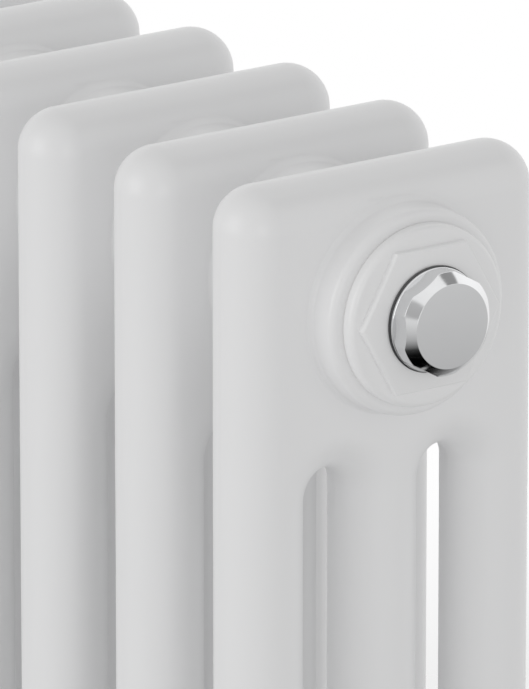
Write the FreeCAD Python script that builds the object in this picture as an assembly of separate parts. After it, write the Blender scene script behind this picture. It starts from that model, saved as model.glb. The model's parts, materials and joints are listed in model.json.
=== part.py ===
import FreeCAD, Part
import math
import os

# Three-column steel tube radiator on two slip-on feet, with a thermostatic valve and a
# lockshield valve at the bottom ends, a blanking plug and a bleed valve at the top ends.
# X runs along the row of sections, Y from the room side to the wall, Z up from the floor.
# The origin is on the floor, midway between the four floor screws of the feet.

Vec = FreeCAD.Vector
os.makedirs("parts", exist_ok=True)

# ---- driving dimensions, millimetres ----

section_count = 8
section_pitch = 48.0
column_pitch = 39.0
tube_radius = 12.5
sheet_wall = 1.25
radiator_height = 600.0
floor_gap = 100.0

tapping_drop = 38.5          # tapping axis, from the outer edge of a head
arch_drop = 92.0             # centre of the arches between the tubes, same datum
leg_drop = 101.0             # where a head ends and its three tubes begin

boss_foot_radius = 31.0      # where a boss meets the flat of its head
boss_cone_radius = 30.0      # above the hollow rounding at its foot
boss_neck_radius = 29.7      # where the rounding of its rim begins
boss_foot_height = 1.8
boss_round = 2.2
end_boss_reach = 22.0        # the end sections' outer bosses are this high, from the tubes' middle
tapping_radius = 20.95       # parallel pipe thread 1 1/4, in the end sections' outer bosses
waterway_radius = 26.0       # the wider bore where two bosses are welded together

gasket_thick = 0.6
gasket_radius = 26.0
bush_flange_radius = 26.2
bush_flange_thick = 3.8
bush_rim_round = 1.8
bush_hex_flats = 41.0
bush_hex_thick = 2.0
bush_hex_chamfer = 0.6
bush_thread_length = 14.0
bush_relief_depth = 6.0      # the bore widens this far behind the flange
bush_relief_wall = 4.0
half_inch_radius = 10.45     # parallel pipe thread 1/2
thread_gap = 0.05

plug_radius = 15.0
plug_flats = 28.4            # six shallow flats on the round plug
plug_face_radius = 12.2
plug_flange_thick = 1.8
plug_height = 9.4
plug_thread_length = 10.0
seal_wire = 0.55
seal_gap = 0.03

vent_screw_radius = 3.0
vent_collar_radius = 4.6
vent_collar_thick = 1.2
vent_collar_depth = 4.4      # of the collar's underside, from the plug's face
vent_key_half = 2.5
vent_key_length = 4.2
vent_seat_level = -6.0
vent_port_radius = 1.2
vent_drain_radius = 1.0
vent_drain_level = 4.2

foot_thick = 6.0
foot_base_length = 150.0
foot_base_width = 40.0
foot_base_corner = 8.0
foot_half_width = 27.0       # of the upright's neck, under the bosses
foot_ramp_half = 46.0
foot_ramp_level = 22.0
foot_neck_level = 64.0
foot_spread = 50.0           # half the upright's width on the base
foot_window_radius = 13.0
foot_window_level = 58.0
ear_drop = 28.0              # of the ears' upper face, below the low tappings
ear_thick = 4.0
ear_length = 16.0
ear_width = 16.0
floor_screw_pitch = 122.0
floor_screw_radius = 4.5
bolt_radius = 3.0
bolt_hole_gap = 0.4
bolt_tail = 11.0
nut_flats = 10.0
nut_thick = 5.0

valve_reach = 47.0           # valve's upright axis, from the face of the bush's hexagon
pipe_radius = 7.55           # socket for 15 mm pipe
pipe_depth = 15.0
spindle_gap = 0.05
valve_lift = 2.4
plug_lift = 3.0

# ---- places worked out from them ----

head_mid = tube_radius       # a head's edge rounding is centred this far inside its edge
boss_reach = section_pitch / 2
row_half = (section_count - 1) * section_pitch / 2
top_level = floor_gap + radiator_height
low_tapping = floor_gap + tapping_drop
high_tapping = top_level - tapping_drop
bush_face = row_half + end_boss_reach + gasket_thick + bush_flange_thick + bush_hex_thick
valve_place = bush_face + valve_reach
foot_place = row_half - section_pitch / 2
chamfer_slope = 0.6          # fall to run of the cone that takes a hexagon's corners down
arc_loss = 1 - math.sqrt(0.5)   # what a rounding takes off at the middle of its arc, per radius


# ---- shared shapes ----

def turned(points):
    """A solid of revolution about Z from (radius, height) points."""
    corners = [Vec(r, 0, z) for r, z in points]
    return Part.Face(Part.makePolygon(corners + corners[:1])).revolve(Vec(0, 0, 0), Vec(0, 0, 1), 360)


def turned_edges(edges):
    """A solid of revolution about Z from a closed chain of edges in the XZ plane."""
    return Part.Face(Part.Wire(edges)).revolve(Vec(0, 0, 0), Vec(0, 0, 1), 360)


def crown(radius, edge, top):
    """The arc of a shallow dome from its edge up to its middle, where it is level."""
    bend = (radius ** 2 + (top - edge) ** 2) / (2 * (top - edge))
    half = radius / 2
    return Part.Arc(Vec(radius, 0, edge), Vec(half, 0, top - bend + math.sqrt(bend ** 2 - half ** 2)),
                    Vec(0, 0, top)).toShape()


def rod(radius, low, high):
    return Part.makeCylinder(radius, high - low, Vec(0, 0, low))


def ring(outer, inner, low, high):
    return rod(outer, low, high).cut(rod(inner, low, high))


def hexagon(flats, low, high, turn=0.0, chamfer=0.0):
    """An upright hexagonal bar; its corners are turned down at the upper end by a cone."""
    reach = flats / math.sqrt(3)
    corners = [Vec(reach * math.cos(math.radians(a + turn)), reach * math.sin(math.radians(a + turn)), low)
               for a in range(0, 361, 60)]
    bar = Part.Face(Part.makePolygon(corners)).extrude(Vec(0, 0, high - low))
    if chamfer:
        clear = reach + 1
        cone_low = high - chamfer_slope * (chamfer + 1)
        cone = turned([(0, low), (clear, low), (clear, cone_low), (reach - chamfer, high), (0, high)])
        bar = bar.common(cone)
    return bar


def along_row(shape, side):
    """Lay a shape made about Z along X, its upper end pointing away from the middle."""
    laid = shape.copy()
    laid.rotate(Vec(0, 0, 0), Vec(0, 1, 0), 90)
    if side < 0:
        laid.rotate(Vec(0, 0, 0), Vec(0, 0, 1), 180)
    return laid


def moved(shape, x=0.0, y=0.0, z=0.0):
    copy = shape.copy()
    copy.translate(Vec(x, y, z))
    return copy


def joined(shapes):
    return shapes[0].multiFuse(shapes[1:]).removeSplitter()


def save(name, *shapes):
    """Write one sub-part; several separate solids go in one compound."""
    solids = [s for shape in shapes for s in shape.Solids]
    for solid in solids:
        if not solid.isValid():
            raise ValueError(name + " is not a valid solid")
    whole = solids[0] if len(solids) == 1 else Part.Compound(solids)
    whole.exportStep("parts/" + name + ".step")
    print(name, len(solids), "solid", round(whole.Volume / 1000, 2), "cm3")


# ---- the sections: two pressed heads and three tubes each ----

def rounded_head(radius):
    """All points within radius of the head's middle surface, a plane sheet in YZ.

    The sheet is a rectangle two columns wide with two arches cut up into it. The solid is
    put together from a slab and the round edges outside it, which share faces.
    """
    top, spring = -head_mid, -arch_drop
    half = column_pitch / 2
    outline = [
        Part.makeLine(Vec(-radius, -column_pitch, spring), Vec(-radius, -column_pitch, top)),
        Part.makeLine(Vec(-radius, -column_pitch, top), Vec(-radius, column_pitch, top)),
        Part.makeLine(Vec(-radius, column_pitch, top), Vec(-radius, column_pitch, spring)),
    ]
    for middle in (half, -half):
        outline.append(Part.Arc(Vec(-radius, middle + half, spring), Vec(-radius, middle, spring + half),
                                Vec(-radius, middle - half, spring)).toShape())
    pieces = [Part.Face(Part.Wire(outline)).extrude(Vec(2 * radius, 0, 0))]

    pieces.append(Part.makeCylinder(radius, 2 * column_pitch, Vec(0, -column_pitch, top), Vec(0, 1, 0), 360)
                  .common(Part.makeBox(4 * radius, 4 * column_pitch, radius,
                                       Vec(-2 * radius, -2 * column_pitch, top))))
    for side in (-1, 1):
        outside = Part.makeBox(4 * radius, radius, 2 * arch_drop,
                               Vec(-2 * radius, side * column_pitch - (radius if side < 0 else 0), -leg_drop))
        edge = Part.makeCylinder(radius, top - spring, Vec(0, side * column_pitch, spring))
        corner = Part.makeSphere(radius, Vec(0, side * column_pitch, top))
        upper = Part.makeBox(4 * radius, 4 * radius, radius,
                             Vec(-2 * radius, side * column_pitch - 2 * radius, top))
        pieces += [edge.common(outside), corner.common(upper).common(outside)]
        pieces.append(arch_edge(radius, side * half, spring))
    for column in (-column_pitch, 0, column_pitch):
        pieces.append(Part.makeCylinder(radius, leg_drop - arch_drop, Vec(0, column, -leg_drop)))
    return joined(pieces)


def arch_edge(radius, middle, spring):
    """The rounded edge of one arch: the inner half of a pipe bent over the arch."""
    bend = column_pitch / 2
    half_disc = Part.Wire([
        Part.Arc(Vec(radius, middle + bend, spring), Vec(0, middle + bend - radius, spring),
                 Vec(-radius, middle + bend, spring)).toShape(),
        Part.makeLine(Vec(-radius, middle + bend, spring), Vec(radius, middle + bend, spring)),
    ])
    return Part.Face(half_disc).revolve(Vec(0, middle, spring), Vec(1, 0, 0), 180)


def boss(rim):
    """One side's boss about Z: a soft foot, a slight cone and a rounded rim."""
    sink = 0.25
    foot_low, foot_high = tube_radius - sink, tube_radius + boss_foot_height
    bend_radius = boss_cone_radius + (boss_foot_radius - boss_cone_radius) * arc_loss
    bend_level = tube_radius + boss_foot_height * arc_loss
    rim_radius = boss_neck_radius - boss_round
    edges = [
        Part.makeLine(Vec(0, 0, 0), Vec(boss_foot_radius, 0, 0)),
        Part.makeLine(Vec(boss_foot_radius, 0, 0), Vec(boss_foot_radius, 0, foot_low)),
        Part.Arc(Vec(boss_foot_radius, 0, foot_low), Vec(bend_radius, 0, bend_level),
                 Vec(boss_cone_radius, 0, foot_high)).toShape(),
        Part.makeLine(Vec(boss_cone_radius, 0, foot_high), Vec(boss_neck_radius, 0, rim - boss_round)),
        Part.Arc(Vec(boss_neck_radius, 0, rim - boss_round),
                 Vec(boss_neck_radius - arc_loss * boss_round, 0, rim - arc_loss * boss_round),
                 Vec(rim_radius, 0, rim)).toShape(),
        Part.makeLine(Vec(rim_radius, 0, rim), Vec(0, 0, rim)),
        Part.makeLine(Vec(0, 0, rim), Vec(0, 0, 0)),
    ]
    return turned_edges(edges)


def pressed_head(right_bore, left_bore):
    """A hollow head with its top edge at Z 0 and its three legs pointing down."""
    outside, inside = rounded_head(tube_radius), rounded_head(tube_radius - sheet_wall)
    sides = ((1, right_bore), (-1, left_bore))
    bosses = [boss(end_boss_reach if radius == tapping_radius else boss_reach) for side, radius in sides]
    bosses = [moved(along_row(piece, side), z=-tapping_drop) for piece, (side, radius) in zip(bosses, sides)]
    head = joined([outside] + bosses).cut(inside)
    for side, radius in sides:
        head = head.cut(Part.makeCylinder(radius, boss_reach, Vec(0, 0, -tapping_drop), Vec(side, 0, 0)))
    return head


def build_sections():
    """Section 1 is the right end; only the two end sections have a threaded outer boss."""
    heads = {0: pressed_head(tapping_radius, waterway_radius),
             section_count - 1: pressed_head(waterway_radius, tapping_radius)}
    middle_head = pressed_head(waterway_radius, waterway_radius)
    tube_low, tube_high = floor_gap + leg_drop, top_level - leg_drop
    for index in range(section_count):
        place = row_half - index * section_pitch
        number = str(index + 1)
        head = heads.get(index, middle_head)
        upside_down = head.mirror(Vec(0, 0, 0), Vec(0, 0, 1))
        save("section_" + number + "_top_head", moved(head, place, 0, top_level))
        save("section_" + number + "_bottom_head", moved(upside_down, place, 0, floor_gap))
        tubes = [moved(ring(tube_radius, tube_radius - sheet_wall, tube_low, tube_high), place, column)
                 for column in (-column_pitch, 0, column_pitch)]
        save("section_" + number + "_tubes", *tubes)


# ---- bushes, plugs and the bleed valve ----

def reducing_bush():
    """A bush about Z, its rim resting on the gasket at Z 0 and its thread below."""
    flange, top, bevel, under = bush_flange_radius, bush_flange_thick, bush_rim_round, 0.2
    thread_low = -bush_thread_length - gasket_thick
    body = turned_edges([
        Part.makeLine(Vec(0, 0, 0), Vec(flange - under, 0, 0)),
        Part.makeLine(Vec(flange - under, 0, 0), Vec(flange, 0, under)),
        Part.makeLine(Vec(flange, 0, under), Vec(flange, 0, top - bevel)),
        Part.Arc(Vec(flange, 0, top - bevel), Vec(flange - arc_loss * bevel, 0, top - arc_loss * bevel),
                 Vec(flange - bevel, 0, top)).toShape(),
        Part.makeLine(Vec(flange - bevel, 0, top), Vec(0, 0, top)),
        Part.makeLine(Vec(0, 0, top), Vec(0, 0, 0)),
    ])
    thread = rod(tapping_radius - thread_gap, thread_low, 0)
    nose = hexagon(bush_hex_flats, top, top + bush_hex_thick, 90, bush_hex_chamfer)
    bore = rod(half_inch_radius, thread_low, top + bush_hex_thick)
    relief = rod(tapping_radius - bush_relief_wall, thread_low, -bush_relief_depth)
    return joined([body, thread, nose]).cut(bore).cut(relief)


def plug_blank():
    """The plug about Z, its rim resting on the bush at Z 0: round, with six flats above the rim."""
    under, break_edge = 0.2, 0.3
    rebate_radius, rebate_level = plug_radius - seal_wire, 2 * seal_wire + seal_gap
    chamfer_low = plug_height - (plug_radius - plug_face_radius)
    flange = turned([(0, 0), (rebate_radius, 0), (rebate_radius, rebate_level),
                     (plug_radius, rebate_level), (plug_radius, plug_flange_thick - break_edge),
                     (plug_radius - break_edge, plug_flange_thick), (0, plug_flange_thick)])
    body_low = plug_flange_thick - under
    neck = plug_radius - break_edge
    body = turned([(0, body_low), (neck, body_low), (neck, plug_flange_thick),
                   (plug_radius, plug_flange_thick + break_edge), (plug_radius, chamfer_low),
                   (plug_face_radius, plug_height), (0, plug_height)])
    flats = hexagon(plug_flats, body_low, plug_height)
    thread = rod(half_inch_radius - thread_gap, -plug_thread_length, 0)
    return joined([flange, body.common(flats), thread])


def seal_ring():
    """A round seal about Z, in the plug's rebate and on the bush's face at Z 0."""
    return Part.makeTorus(plug_radius + seal_gap, seal_wire, Vec(0, 0, seal_wire))


def build_tappings():
    """Four bushes on their gaskets, then the plug at the right end and the bleed valve at the left."""
    face_at = row_half + end_boss_reach + gasket_thick
    bush = reducing_bush()
    gasket = ring(gasket_radius, tapping_radius, -gasket_thick, 0)
    gaskets = []
    for side, hand in ((1, "right"), (-1, "left")):
        for level, where in ((high_tapping, "top"), (low_tapping, "bottom")):
            save("bush_" + where + "_" + hand, moved(along_row(bush, side), side * face_at, 0, level))
            gaskets.append(moved(along_row(gasket, side), side * face_at, 0, level))
    save("bush_gaskets", *gaskets)

    plug = plug_blank()
    save("blanking_plug", moved(along_row(plug, 1), bush_face, 0, high_tapping))
    seal = seal_ring()
    save("plug_seals", *[moved(along_row(seal, side), side * bush_face, 0, high_tapping) for side in (1, -1)])

    body, screw = bleed_valve(plug)
    save("vent_body", moved(along_row(body, -1), -bush_face, 0, high_tapping))
    save("vent_screw", moved(along_row(screw, -1), -bush_face, 0, high_tapping))


def bleed_valve(plug):
    """The plug bored for a needle screw with a square key, and a drain hole to the room side."""
    face, seat = plug_height, vent_seat_level
    collar_low = face - vent_collar_depth
    collar_high = collar_low + vent_collar_thick
    clearance, needle_length, needle_tip = 0.6, 2.1, 0.5
    pocket = rod(vent_collar_radius + clearance, collar_low - 0.1, face)
    hole = rod(vent_screw_radius + spindle_gap, seat, face)
    port = rod(vent_port_radius, -plug_thread_length, 0)
    drain = Part.makeCylinder(vent_drain_radius, plug_flats, Vec(0, 0, vent_drain_level), Vec(0, -1, 0))
    body = plug.cut(pocket).cut(hole).cut(port).cut(drain)

    needle_low = seat + 0.1
    shank_low = needle_low + needle_length
    needle = turned([(0, needle_low), (needle_tip, needle_low), (vent_screw_radius, shank_low),
                     (0, shank_low)])
    shank = rod(vent_screw_radius, shank_low, collar_low)
    waist = ring(vent_screw_radius + 0.5, 2.0, vent_drain_level - 1.2, vent_drain_level + 0.7)
    collar = rod(vent_collar_radius, collar_low, collar_high)
    key = Part.makeBox(2 * vent_key_half, 2 * vent_key_half, vent_key_length,
                       Vec(-vent_key_half, -vent_key_half, collar_high))
    return body, joined([shank.cut(waist), needle, collar, key])


# ---- valves: both stand on the pipe and meet the radiator through a union ----

# levels are from the branch axis; outlines are (radius, level) about the upright axis
body_top = 16.0
body_low = -30.0
body_outline = [
    (0, body_low), (10.4, body_low), (10.4, -19), (12.6, -17.5), (12.6, -14), (14.2, -10), (14.8, -3),
    (14.8, 5), (14.0, 9), (13.4, 10.5), (13.4, body_top - 0.5), (12.9, body_top), (0, body_top)]
branch_end = 27.0
branch_thread_radius = 13.0
branch_outline = [
    (0, 0), (11.0, 0), (11.0, 16.5), (branch_thread_radius, 17), (branch_thread_radius, branch_end - 0.6),
    (branch_thread_radius - 0.6, branch_end), (0, branch_end)]
passage_radius = 7.0
chamber_radius = 10.0
chamber_floor = -4.0
seat_radius = 6.0

tail_collar_thick = 3.2
tail_collar_radius = 12.2
tail_neck_radius = 9.4
tail_shoulder_radius = 11.8
tail_shoulder_thick = 4.0
tail_thread_length = 14.0
union_nut_flats = 30.0
union_nut_low = 18.0
union_nut_high = 34.2

pipe_thread_radius = 10.4
compression_nut_flats = 24.0
compression_nut_low = -38.0
compression_nut_high = -21.0
compression_nut_floor = -34.2
olive_radius = 9.0
olive_half = 2.0
olive_level = -32.1


def valve_body():
    """An angle body: pipe from below, branch along -X, bonnet opening above."""
    branch = turned(branch_outline)
    branch.rotate(Vec(0, 0, 0), Vec(0, 1, 0), -90)
    outside = joined([turned(body_outline), branch])
    inside = joined([rod(pipe_radius, body_low, body_low + pipe_depth),
                     rod(seat_radius, body_low + pipe_depth, chamber_floor),
                     rod(chamber_radius, chamber_floor, body_top)])
    passage = Part.makeCylinder(passage_radius, branch_end, Vec(0, 0, 0), Vec(-1, 0, 0))
    return outside.cut(inside).cut(passage)


def union_tail():
    """The tailpiece along -X from the body's mouth into the bush, about the branch axis."""
    mouth, face = branch_end, valve_reach
    collar_high = mouth + tail_collar_thick
    shoulder_low, shoulder_high = face - tail_shoulder_thick, face - 0.1
    thread, tip = half_inch_radius - thread_gap, face + tail_thread_length
    bevel = 0.6
    tail = turned([(0, mouth), (tail_collar_radius - bevel, mouth), (tail_collar_radius, mouth + bevel),
                   (tail_collar_radius, collar_high), (tail_neck_radius, collar_high),
                   (tail_neck_radius, shoulder_low), (tail_shoulder_radius, shoulder_low),
                   (tail_shoulder_radius, shoulder_high), (thread, shoulder_high), (thread, tip), (0, tip)])
    tail = tail.cut(rod(passage_radius, mouth, tip))
    tail.rotate(Vec(0, 0, 0), Vec(0, 1, 0), -90)
    return tail


def union_nut():
    """The nut that draws the tailpiece's collar against the body."""
    low, high, chamfer, play = union_nut_low, union_nut_high, 1.4, 0.1
    nut = hexagon(union_nut_flats, low, high, 0, chamfer)
    nut = nut.cut(rod(branch_thread_radius + thread_gap, low, branch_end + tail_collar_thick + play))
    nut = nut.cut(rod(tail_neck_radius + 2 * play, low, high))
    nut.rotate(Vec(0, 0, 0), Vec(0, 1, 0), -90)
    return nut


def compression_nut():
    """The nut under the body that squeezes the olive onto the pipe."""
    low, high, chamfer, play = compression_nut_low, compression_nut_high, 1.2, 0.15
    nut = hexagon(compression_nut_flats, low, high, 0, chamfer)
    nut = nut.mirror(Vec(0, 0, (low + high) / 2), Vec(0, 0, 1))
    nut = nut.cut(rod(pipe_thread_radius + thread_gap, compression_nut_floor, high))
    return nut.cut(rod(pipe_radius + play, low, high))


def olive():
    """The soft ring between the compression nut and the body, thickest at its middle."""
    rim, crest = olive_radius - 0.8, 0.4 * olive_half
    return turned([(pipe_radius, olive_level - olive_half), (rim, olive_level - olive_half),
                   (olive_radius, olive_level - crest), (olive_radius, olive_level + crest),
                   (rim, olive_level + olive_half), (pipe_radius, olive_level + olive_half)])


def place_valve(side):
    """A placer for pieces made about the valve's own axis."""
    def put(shape):
        turned_round = shape.copy()
        if side < 0:
            turned_round.rotate(Vec(0, 0, 0), Vec(0, 0, 1), 180)
        return moved(turned_round, side * valve_place, 0, low_tapping)
    return put


def build_connections(prefix, put):
    """The pieces that both valves share."""
    save(prefix + "_body", put(valve_body()))
    save(prefix + "_tail", put(union_tail()))
    save(prefix + "_union_nut", put(union_nut()))
    save(prefix + "_compression_nut", put(compression_nut()))
    save(prefix + "_olive", put(olive()))


def coil_spring(mean_radius, wire, low, high, turns):
    """A helical spring about Z; its wire is eight-sided."""
    path = Part.makeHelix((high - low - 2 * wire) / turns, high - low - 2 * wire, mean_radius)
    corners = [Vec(mean_radius + wire * math.cos(math.pi * n / 4), 0, wire * math.sin(math.pi * n / 4))
               for n in range(9)]
    coil = Part.Wire(path).makePipeShell([Part.makePolygon(corners)], True, True)
    return moved(coil, z=low + wire)


insert_low = 4.0
insert_high = 30.0
insert_rim_radius = 14.9
gland_low = 25.0
gland_high = 33.0
gland_radius = 5.6
gland_flats = 14.0
pin_radius = 2.5
pin_top = 36.5
disc_radius = 8.2
disc_thick = 3.2
spring_floor = 8.0
spring_radius = 4.1
spring_wire = 0.45
spring_turns = 5
pin_collar_radius = 5.2
pin_collar_thick = 1.9


def build_thermostatic_valve():
    """The insert in the body, its pin and disc held up by a spring, then the head."""
    put = place_valve(1)
    build_connections("valve", put)

    bore, hole = chamber_radius - thread_gap, pin_radius + spindle_gap
    rest, neck, rim_low, bevel = 12.4, 21.0, 21.0, 0.5
    insert = turned([(0, insert_low), (bore, insert_low), (bore, body_top), (rest, body_top), (rest, neck),
                     (insert_rim_radius, rim_low), (insert_rim_radius, insert_high - bevel),
                     (insert_rim_radius - bevel, insert_high), (0, insert_high)])
    insert = insert.cut(rod(gland_radius, spring_floor, insert_high)).cut(rod(hole, insert_low, insert_high))
    save("valve_insert", put(insert))
    gland = joined([rod(gland_radius - thread_gap, gland_low, insert_high),
                    hexagon(gland_flats, insert_high, gland_high, 0, 0.8)])
    save("valve_gland_nut", put(gland.cut(rod(hole, gland_low, gland_high))))

    disc_low = chamber_floor + valve_lift + 0.1
    collar_high = gland_low - 0.1
    collar_low = collar_high - pin_collar_thick
    pin = joined([rod(pin_radius, disc_low + 1, pin_top), rod(disc_radius, disc_low, disc_low + disc_thick),
                  rod(pin_collar_radius, collar_low, collar_high)])
    save("valve_pin", put(pin))
    save("valve_spring", put(coil_spring(spring_radius, spring_wire, spring_floor, collar_low, spring_turns)))
    build_thermostatic_head(put)


# ---- thermostatic head ----

head_radius = 22.5
head_low = 41.0
head_high = 98.0
head_wall = 2.4
head_crown = 3.2             # rise of the end's dome
head_edge_round = 4.5
window_count = 12
window_width = 4.0
window_length = 22.0
window_low = 63.0
collar_outline = [(14.95, 21.6), (17.6, 21.6), (18.2, 22.4), (18.2, 33.6), (17.6, 34.4), (12.2, 34.4),
                  (12.2, 31.4), (14.95, 31.4)]
collar_groove_count = 24
collar_groove_radius = 0.8
collar_groove_place = 18.5
base_outline = [(9.0, 30.6), (11.9, 30.6), (11.9, 34.6), (19.0, 34.6), (21.6, 37.2), (21.6, 40.6),
                (19.8, 40.6), (19.8, 46), (16.4, 46), (16.4, 40), (6.0, 40), (6.0, 34.2), (9.0, 34.2)]
pointer_width = 1.4
pointer_low = 37.4
pointer_height = 3.0
sensor_outline = [(0, pin_top), (5.95, pin_top), (5.95, 43), (12.6, 44), (13.4, 45), (13.4, 78), (12.4, 79.5),
                  (0, 79.5)]


def build_thermostatic_head(put):
    """A grooved collar, a base with a pointer, the sensor on the pin and the slotted knob over it."""
    collar = turned(collar_outline)
    low, high = collar_outline[0][1] - 1, collar_outline[4][1] + 1
    grooves = []
    for index in range(collar_groove_count):
        angle = 2 * math.pi * index / collar_groove_count
        grooves.append(moved(rod(collar_groove_radius, low, high), collar_groove_place * math.cos(angle),
                             collar_groove_place * math.sin(angle)))
    save("head_collar", put(collar.cut(Part.Compound(grooves))))

    pointer = Part.makeBox(1.0, pointer_width, pointer_height, Vec(21.4, -pointer_width / 2, pointer_low))
    pointer.rotate(Vec(0, 0, 0), Vec(0, 0, 1), -90)
    save("head_base", put(joined([turned(base_outline), pointer])))
    save("head_sensor", put(turned(sensor_outline)))

    inner, inner_bevel = head_radius - head_wall, 3.0
    dome = head_high - head_crown
    ceiling = dome - head_wall
    shoulder, crown_radius = dome - head_edge_round, head_radius - head_edge_round
    knob = turned_edges([
        Part.makeLine(Vec(inner, 0, head_low), Vec(head_radius, 0, head_low)),
        Part.makeLine(Vec(head_radius, 0, head_low), Vec(head_radius, 0, shoulder)),
        Part.Arc(Vec(head_radius, 0, shoulder),
                 Vec(head_radius - arc_loss * head_edge_round, 0, dome - arc_loss * head_edge_round),
                 Vec(crown_radius, 0, dome)).toShape(),
        crown(crown_radius, dome, head_high),
        Part.makeLine(Vec(0, 0, head_high), Vec(0, 0, ceiling)),
        Part.makeLine(Vec(0, 0, ceiling), Vec(inner - inner_bevel, 0, ceiling)),
        Part.makeLine(Vec(inner - inner_bevel, 0, ceiling), Vec(inner, 0, ceiling - inner_bevel)),
        Part.makeLine(Vec(inner, 0, ceiling - inner_bevel), Vec(inner, 0, head_low)),
    ])
    for index in range(window_count):
        window = Part.makeBox(3 * head_wall, window_width, window_length,
                              Vec(inner - head_wall, -window_width / 2, window_low))
        window.rotate(Vec(0, 0, 0), Vec(0, 0, 1), (index + 0.5) * 360 / window_count)
        knob = knob.cut(window)
    save("head_knob", put(knob))


# ---- lockshield valve ----

bonnet_low = 5.0
bonnet_top = 26.0
bonnet_bore_radius = chamber_radius - thread_gap
bonnet_outline = [(0, bonnet_low), (bonnet_bore_radius, bonnet_low), (bonnet_bore_radius, body_top),
                  (12.0, body_top), (12.0, 19), (7.6, 19), (7.6, bonnet_top), (0, bonnet_top)]
bonnet_room_radius = 8.0
bonnet_room_top = 15.0
spindle_radius = 3.0
spindle_low = 2.0
spindle_top = 26.5
spindle_flange_radius = 6.8
spindle_flange_low = 12.6
spindle_flange_high = 14.9
spindle_square = 4.0
spindle_square_length = 5.8
lock_plug_radius = 7.6
lock_plug_height = 10.0
lock_plug_floor = 2.6
cap_radius = 14.6
cap_bore = 12.3
cap_low = 16.4
cap_high = 43.0
cap_shoulder_drop = 4.2
cap_edge_round = 3.4
cap_crown_thick = 2.6
cap_flute_count = 16
cap_flute_radius = 1.1
cap_flute_place = 15.1


def build_lockshield_valve():
    """Spindle, rising plug and bonnet in the body, under a fluted cap that pulls off."""
    put = place_valve(-1)
    build_connections("lockshield", put)

    hole = spindle_radius + spindle_gap
    bonnet = turned(bonnet_outline).cut(rod(bonnet_room_radius, bonnet_low, bonnet_room_top))
    save("lockshield_bonnet", put(bonnet.cut(rod(hole, bonnet_low, bonnet_top))))

    flange = rod(spindle_flange_radius, spindle_flange_low, spindle_flange_high)
    shaft = rod(spindle_radius, spindle_low, spindle_top)
    square = Part.makeBox(spindle_square, spindle_square, spindle_square_length,
                          Vec(-spindle_square / 2, -spindle_square / 2, spindle_top))
    save("lockshield_spindle", put(joined([shaft, flange, square])))

    plug_low = chamber_floor + plug_lift + 0.1
    plug_high = plug_low + lock_plug_height
    plug = rod(lock_plug_radius, plug_low, plug_high).cut(rod(hole, plug_low + lock_plug_floor, plug_high))
    save("lockshield_plug", put(plug))
    save("lockshield_cap", put(fluted_cap()))


def fluted_cap():
    """A cap about Z with a domed end, a rounded shoulder and flutes for grip."""
    shoulder = cap_high - cap_shoulder_drop
    crown_edge, crown_radius = shoulder + cap_edge_round, cap_radius - cap_edge_round
    foot_bevel, foot_rise, ceiling = 0.6, 1.0, cap_high - cap_crown_thick
    inner_radius, inner_level = 9.0, cap_high - 6
    cap = turned_edges([
        Part.makeLine(Vec(cap_bore, 0, cap_low), Vec(cap_radius - foot_bevel, 0, cap_low)),
        Part.makeLine(Vec(cap_radius - foot_bevel, 0, cap_low), Vec(cap_radius, 0, cap_low + foot_rise)),
        Part.makeLine(Vec(cap_radius, 0, cap_low + foot_rise), Vec(cap_radius, 0, shoulder)),
        Part.Arc(Vec(cap_radius, 0, shoulder),
                 Vec(cap_radius - arc_loss * cap_edge_round, 0, crown_edge - arc_loss * cap_edge_round),
                 Vec(crown_radius, 0, crown_edge)).toShape(),
        crown(crown_radius, crown_edge, cap_high),
        Part.makeLine(Vec(0, 0, cap_high), Vec(0, 0, ceiling)),
        Part.makeLine(Vec(0, 0, ceiling), Vec(inner_radius, 0, ceiling)),
        Part.makeLine(Vec(inner_radius, 0, ceiling), Vec(cap_bore, 0, inner_level)),
        Part.makeLine(Vec(cap_bore, 0, inner_level), Vec(cap_bore, 0, cap_low)),
    ])
    for index in range(cap_flute_count):
        angle = 2 * math.pi * index / cap_flute_count
        cap = cap.cut(moved(rod(cap_flute_radius, body_top, shoulder), cap_flute_place * math.cos(angle),
                            cap_flute_place * math.sin(angle)))
    return cap


# ---- slip-on feet ----

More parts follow.
